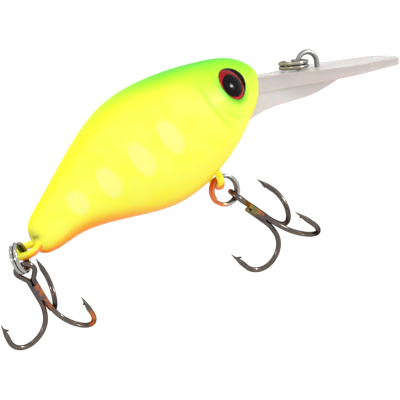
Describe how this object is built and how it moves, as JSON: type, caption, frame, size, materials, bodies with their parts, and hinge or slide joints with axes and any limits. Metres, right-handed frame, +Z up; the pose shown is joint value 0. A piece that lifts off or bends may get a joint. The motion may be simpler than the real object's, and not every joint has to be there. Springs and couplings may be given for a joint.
{
  "type": "crankbait lure",
  "caption": "Deep diving crankbait: hollow painted body in two halves, long lip, line tie, split rings and two treble hooks.",
  "frame": {"origin": "centre of the line tie loop on the diving lip", "axes": "+X forwards from tail to lip, +Y to the left side, +Z up to the back of the lure"},
  "size_m": [0.0691, 0.0137, 0.0334],
  "materials": {
    "painted_shell": "fluorescent yellow paint over moulded ABS, clear coated; green back, orange belly",
    "milky_plastic": "milky translucent polycarbonate",
    "steel_wire": "stainless wire",
    "painted_wire": "steel wire painted with the body",
    "ballast_steel": "plain steel",
    "eye_foil": "red printed foil with a black pupil",
    "clear_resin": "clear cast resin",
    "nickel": "nickel plate",
    "hook_steel": "black nickel",
    "braze": "brazing metal under black nickel",
    "ball_steel": "polished steel"
  },
  "bodies": {
    "lure_body": {"right_body_shell": "painted_shell", "left_body_shell": "painted_shell", "diving_lip": "milky_plastic", "line_tie_wire": "steel_wire", "belly_hook_hanger": "painted_wire", "tail_hook_hanger": "painted_wire", "belly_ballast": "ballast_steel", "right_eye_disc": "eye_foil", "left_eye_disc": "eye_foil", "right_eye_lens": "clear_resin", "left_eye_lens": "clear_resin"},
    "line_ring": {"line_tie_ring": "nickel"},
    "belly_ring": {"belly_split_ring": "nickel"},
    "belly_treble": {"belly_double_hook": "hook_steel", "belly_single_hook": "hook_steel", "belly_hook_braze": "braze"},
    "tail_ring": {"tail_split_ring": "nickel"},
    "tail_treble": {"tail_double_hook": "hook_steel", "tail_single_hook": "hook_steel", "tail_hook_braze": "braze"},
    "front_rattle": {"front_rattle_ball": "ball_steel"},
    "rear_rattle": {"rear_rattle_ball": "ball_steel"}
  },
  "joints": [
    {"name": "line_tie_ring_swing", "type": "hinge", "parent": "lure_body", "child": "line_ring", "pos_m": [0, 0, 0], "axis": [0, 1, 0], "range_deg": [0, 180]},
    {"name": "belly_ring_swing", "type": "hinge", "parent": "lure_body", "child": "belly_ring", "pos_m": [-0.02, 0, -0.00836], "axis": [0, 1, 0], "range_deg": [-45, 75]},
    {"name": "belly_treble_swing", "type": "hinge", "parent": "belly_ring", "child": "belly_treble", "pos_m": [-0.01842, 0, -0.01088], "axis": [-0.848, 0, -0.5299], "range_deg": [-45, 45]},
    {"name": "tail_ring_swing", "type": "hinge", "parent": "lure_body", "child": "tail_ring", "pos_m": [-0.05097, -0.00085, -0.00186], "axis": [0.682, -0.7314, 0], "range_deg": [-60, 45]},
    {"name": "tail_treble_swing", "type": "hinge", "parent": "tail_ring", "child": "tail_treble", "pos_m": [-0.05168, -0.00151, -0.00368], "axis": [0.7304, 0.6811, -0.0523], "range_deg": [-30, 60]},
    {"name": "front_rattle_slide", "type": "slide", "parent": "lure_body", "child": "front_rattle", "axis": [0, 1, 0], "range_m": [-0.0022, 0.0022]},
    {"name": "rear_rattle_slide", "type": "slide", "parent": "lure_body", "child": "rear_rattle", "axis": [0, 1, 0], "range_m": [-0.0022, 0.0022]}
  ]
}
